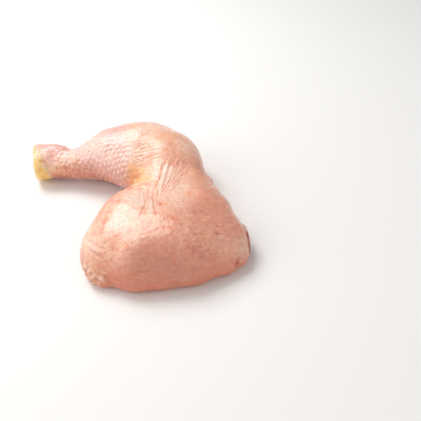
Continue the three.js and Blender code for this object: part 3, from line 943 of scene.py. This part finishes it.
def cuff_material():
    n = Nodes("yellow_shank_skin")
    mottle = n.ramp(n.noise(3 * MM, 4), 0.35, 0.7)
    color = n.mix(mottle, linear(250, 206, 124), linear(236, 172, 80))
    scale_edge = n.ramp(n.cells(SCALE), 0.25, 0.6)
    color = n.over(color, scale_edge, 0.35, (250, 218, 150))
    # Cream at the rim by the cut, and painted highlights on the cuff.
    color = n.over(color, "rim", 0.8, (253, 238, 208))
    color = n.over(color, "pink_top", 0.9, (244, 196, 172))
    color = n.over(color, "dent", 0.8, (218, 144, 72))
    fine = n.bump(n.noise(1.0 * MM, 3), 0.08 * MM)
    scales = n.bump(n.cells(SCALE), 0.25 * MM, fine)
    roughness = n.ramp(n.noise(3 * MM), 0.3, 0.7, 0.34, 0.5)
    wander = (2.4 * MM, 1.4 * MM, 0.6 * MM)
    return n.finish(color, roughness, scales, 0.35, wander, coat=0.15, coat_roughness=0.25)


def meat_material():
    n = Nodes("dark_meat")
    fibre = n.noise(0.9 * MM, 3, 0.6, 6, MEAT_RUN)
    bundle = n.noise(4 * MM, 2, 0.5, 6, MEAT_RUN)
    color = n.mix(n.ramp(bundle, 0.35, 0.65), linear(150, 62, 56), linear(190, 98, 88))
    color = n.over(color, n.ramp(fibre, 0.45, 0.7), 0.35, (208, 128, 114))
    color = n.over(color, "film", 0.55, (214, 150, 146))
    color = n.over(color, "fat", 0.85, (240, 210, 168))
    fine = n.bump(fibre, 0.18 * MM)
    roughness = n.ramp(n.noise(4 * MM), 0.3, 0.7, 0.24, 0.4)
    wander = (2.8 * MM, 0.8 * MM, 0.5 * MM)
    return n.finish(color, roughness, fine, 0.35, wander, coat=0.35, coat_roughness=0.12)


def bone_material():
    n = Nodes("bone_end")
    mottle = n.ramp(n.noise(2.5 * MM, 4), 0.35, 0.7)
    color = n.mix(mottle, linear(190, 148, 154), linear(216, 180, 176))
    color = n.over(color, "crown", 0.5, (236, 212, 204))
    color = n.over(color, "groove", 0.85, (136, 68, 82))
    fine = n.bump(n.noise(0.8 * MM, 3), 0.14 * MM)
    wander = (2.0 * MM, 1.0 * MM, 0.8 * MM)
    return n.finish(color, 0.45, fine, 0.3, wander, coat=0.15, coat_roughness=0.3)


# ---- the leg's own pieces ----

CUFF_OVER_SKIN = 4.5 * MM
SKIN_THICKNESS = 1.7 * MM
CUFF_THICKNESS = 1.8 * MM
CUFF_HEM = 0.4 * MM  # its thickness at its border
HOCK_END = 6 * MM  # the stretch before the cut that is reshaped with it
SKIN_UNDER_CUFF = 0.8 * MM  # how far the skin sinks there

on_side = NORMAL @ HOCK_OUT < 0.6
outward = (NORMAL * round_hock).sum(1) > 0
skin_height = height - SKIN_UNDER_CUFF * smoothstep(1.6 * MM, 3.6 * MM, cuff_reach)
ragged = 0.25 * grain(leg.co, 3 * MM, 9) + 0.2 * grain(leg.co, 8 * MM, 20)
is_skin = (is_cut < 0.5 + ragged) & (cuff_reach < CUFF_OVER_SKIN)
is_skin &= on_side | (up_shank > HOCK_END)
is_cuff = (cuff_reach > 0) & (up_shank > 0.4 * MM) & on_side & outward

# All that ends at the hock is drawn out past the cut there and rounded off.
past_cut = (2 + 0.5 * grain(leg.co, 5 * MM, 21)) * MM * smoothstep(HOCK_END, 0, up_shank)
rounded_rim = 2.3 * MM * smoothstep(5.5 * MM, 0, up_shank) ** 2
at_hock = np.outer(past_cut, HOCK_OUT) - NORMAL * rounded_rim[:, None]


def above_floor(co):
    co[:, 2] = np.maximum(co[:, 2], 0)
    return co


def make_skin():
    """The skin. Gives how far each vertex of the leg is from its border."""
    co = above_floor(leg.co + at_hock + NORMAL * skin_height[:, None])
    piece, to_edge = sheet_piece("leg_skin", co, is_skin, np.full(len(co), SKIN_THICKNESS), paint)
    piece.data.materials.append(skin_material())
    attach(piece, "root")
    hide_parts("skin")
    return to_edge


# Marks on the cuff, as (u, v, radius in mm, strength).
PINK_MARKS = [(35, 146, 4.5, 1.0), (40, 146, 5, 1.0), (46, 148, 5, 1.0), (50, 156, 3.5, 0.8)]
# Painted highlights on the cuff, and painted light where it lies in shade.
CUFF_PAINTED_LIGHT_MARKS = [
    (36, 155, 3.2, 0.9), (42, 157, 3, 0.8), (43, 164.5, 3, 0.8), (48, 166, 2.5, 0.5),
    (34, 166, 2, 0.7), (37, 176, 2, 0.6),
]
DENT_MARKS = [(41, 161.5, 1.5, 0.9), (45, 161.5, 1.2, 0.7)]


def make_cuff():
    """The yellow cuff, whose border lies on the skin and is pressed down a little."""
    scales = pimple - PIMPLE_MIDDLE + 0.5 * grain(leg.co, 2.5 * MM, 10)
    far_in = smoothstep(0, 5 * MM, cuff_reach)
    pressed = 0.5 * MM * smoothstep(1.6 * MM, 0, cuff_reach)
    rise = 0.05 * MM + 0.25 * MM * far_in * (1 + scales) - pressed
    co = above_floor(leg.co + at_hock + NORMAL * (rise + (1 - 0.5 * far_in) * height)[:, None])
    rim = smoothstep(2.2 * MM, 0.6 * MM, up_shank + 0.6 * MM * grain(leg.co, 2 * MM, 11))
    pink_edge = smoothstep(5 * MM, 0, cuff_reach + 1.5 * MM * grain(leg.co, 3 * MM, 18))
    colors = {
        "dent": near_marks(DENT_MARKS),
        # The rim's cream also carries the cuff's painted highlights.
        "rim": np.maximum(rim, near_marks(CUFF_PAINTED_LIGHT_MARKS)),
        "pink_top": np.maximum(near_marks(PINK_MARKS), pink_edge),
    }
    thickness = CUFF_HEM + (CUFF_THICKNESS - CUFF_HEM) * far_in
    piece, _ = sheet_piece("hock_cuff_skin", co, is_cuff, thickness, colors)
    piece.data.materials.append(cuff_material())
    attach(piece, "root")
    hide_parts("hock_cuff")


MEAT_UNDER_SKIN = 2.0 * MM
MEAT_UNDER_CUFF = 1.8 * MM
MEAT_HIDDEN = 5 * MM  # further in than this under the skin, it is thinned out
MEAT_ROUNDS = 2
BONE_DEPTH = 4.6 * MM  # how far the plug at the hock lies behind the cut in front of the bone
PLUG_DEPTH = 2.4 * MM  # and round it


def make_meat(to_edge):
    """The flesh that fills the skin, in bundles where it shows."""
    deep = np.where(is_skin, to_edge, -to_edge)  # how far under the skin, in metres
    sink = MEAT_UNDER_SKIN * smoothstep(-0.8 * MM, 3 * MM, deep)
    sink = leg.smoothed(np.where(is_cuff | (node_here == CUFF), MEAT_UNDER_CUFF, sink), MEAT_ROUNDS)
    bare = smoothstep(0, -4 * MM, deep) * (node_here == MEAT)
    grooves = np.abs(grain(squeezed(MEAT_RUN, 0.25), 7 * MM, 12))
    bundles = grain(squeezed(MEAT_RUN, 0.3), 3 * MM, 13)
    relief = bare * (0.9 * MM * smoothstep(0.25, 0, grooves) - 0.3 * MM * bundles)
    co = leg.co + NORMAL * (np.where(is_skin, skin_height, 0) - sink - relief)[:, None]
    # The end at the hock is a plug that narrows towards the cut, inside the cuff.
    narrower = 0.13 + 0.17 * smoothstep(HOCK_END, 0.5 * MM, up_shank)
    deeper = leg.smoothed(np.where(node_here == BONE, BONE_DEPTH, PLUG_DEPTH), MEAT_ROUNDS)
    plug = leg.co + np.outer(past_cut - deeper, HOCK_OUT) - round_hock * narrower[:, None]
    co = above_floor(co + (plug - co) * smoothstep(9 * MM, HOCK_END, up_shank)[:, None])
    piece = new_object("leg_meat", co, leg.faces.tolist())
    # Fat: seams between the bundles, crumbs along the skin's border, and small lumps.
    stretches = smoothstep(0.05, 0.45, grain(leg.co, 10 * MM, 23))
    seams = 0.8 * smoothstep(0.15, 0.03, grooves) * stretches
    crumbs = smoothstep(-0.25, 0.35, grain(leg.co, 5 * MM, 22))
    along_skin = smoothstep(-5 * MM, -1 * MM, deep) * crumbs
    lumps = smoothstep(0.42, 0.6, grain(leg.co, 9 * MM, 14))
    fat = (seams + along_skin + lumps) * (node_here == MEAT)
    fat = np.where(up_shank < CUFF_MIDDLE, 0, fat)
    film = smoothstep(0, 0.5, grain(squeezed(MEAT_RUN, 0.5), 11 * MM, 24))
    give_paint(piece.data, {"fat": np.clip(fat, 0, 1), "film": film}, np.arange(len(co)))
    thin_out(piece, leg.faces, deep > MEAT_HIDDEN)
    piece.data.materials.append(meat_material())
    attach(piece, "root")
    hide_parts("meat")


KNOB_APART = 4.6 * MM  # from the groove to the middle of a knob
KNOB_ACROSS = 3.8 * MM
KNOB_UP = 6.5 * MM
BONE_SUNK = 0.9  # how far the bone's end lies behind its solid's, in mm


def make_bone():
    """The shin, whose lower end has two rounded knobs of cartilage with a groove between them."""
    bone = remeshed(["shin_bone"])
    bone.relax(SMOOTH_ROUNDS)
    from_end = (HOCK_CUT - bone.co) @ HOCK_OUT
    off = bone.co - bone.co[from_end < 2.5 * MM].mean(0)
    across, up = off @ np.cross(HOCK_OUT, [0, 0, 1]), off[:, 2]
    faces_out = smoothstep(0.2, 0.7, bone.normals() @ HOCK_OUT)
    on_end = smoothstep(6 * MM, 1 * MM, from_end) * faces_out
    knobs = bell(np.hypot((np.abs(across) - KNOB_APART) / KNOB_ACROSS, up / KNOB_UP))
    wander = 0.8 * MM * grain(bone.co, 5 * MM, 16)
    groove = bell((across + wander) / (1.9 * MM)) * bell(up / (7 * MM))
    rise = 1.2 * knobs - 0.8 * groove + 0.15 * grain(bone.co, 1.8 * MM, 15) - BONE_SUNK
    co = bone.co + np.outer(rise * MM * on_end, HOCK_OUT)
    piece = new_object("bone_end", co, bone.faces.tolist())
    colors = {"crown": knobs * on_end, "groove": groove * on_end}
    give_paint(piece.data, colors, np.arange(len(co)))
    piece.data.shade_smooth()
    piece.data.materials.append(bone_material())
    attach(piece, "root")
    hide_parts("shin_bone")


# ---- the studio ----


def add_light(name, azimuth, elevation, distance, size, watts, color):
    """A soft square light that faces the leg from there. Azimuth 0 is the camera's side."""
    light = bpy.data.lights.new(name, "AREA")
    light.size = size
    light.energy = watts
    light.color = color
    lamp = bpy.data.objects.new(name, light)
    a, e = math.radians(azimuth), math.radians(elevation)
    away = Vector((math.sin(a) * math.cos(e), -math.cos(a) * math.cos(e), math.sin(e)))
    lamp.location = away * distance
    lamp.rotation_euler = away.to_track_quat("Z", "Y").to_euler()
    bpy.context.scene.collection.objects.link(lamp)


# Lights as (name, azimuth and elevation in degrees, distance and size in metres, watts, colour).
LIGHTS = [
    ("key", -142, 56, 0.9, 0.5, 6.2, (1, 1, 1)),
    ("side", -80, 32, 0.9, 0.7, 2.9, (1, 0.99, 0.98)),
    ("fill", 45, 28, 1.0, 1.0, 2.1, (1, 0.92, 0.84)),
]
FLOOR_HALF = 3.0  # metres from its middle to a side
FLOOR_COLOR = (0.86, 0.85, 0.84, 1)
FLOOR_ROUGHNESS = 0.7
SKY_COLOR = (1, 0.995, 0.985, 1)
SKY_STRENGTH = 0.4


def make_studio():
    corners = np.array([[-1, -1, 0], [1, -1, 0], [1, 1, 0], [-1, 1, 0]]) * FLOOR_HALF
    floor = new_object("floor", corners, [(0, 1, 2, 3)])
    n = Nodes("pale_floor")
    n.shader.inputs["Base Color"].default_value = FLOOR_COLOR
    n.shader.inputs["Roughness"].default_value = FLOOR_ROUGHNESS
    floor.data.materials.append(n.material)
    for light in LIGHTS:
        add_light(*light)
    world = bpy.data.worlds.new("studio")
    world.use_nodes = True
    sky = world.node_tree.nodes["Background"].inputs
    sky["Color"].default_value = SKY_COLOR
    sky["Strength"].default_value = SKY_STRENGTH
    bpy.context.scene.world = world
    bpy.context.scene.view_settings.view_transform = "Standard"


make_meat(make_skin())
make_cuff()
make_bone()
make_studio()
add_camera()
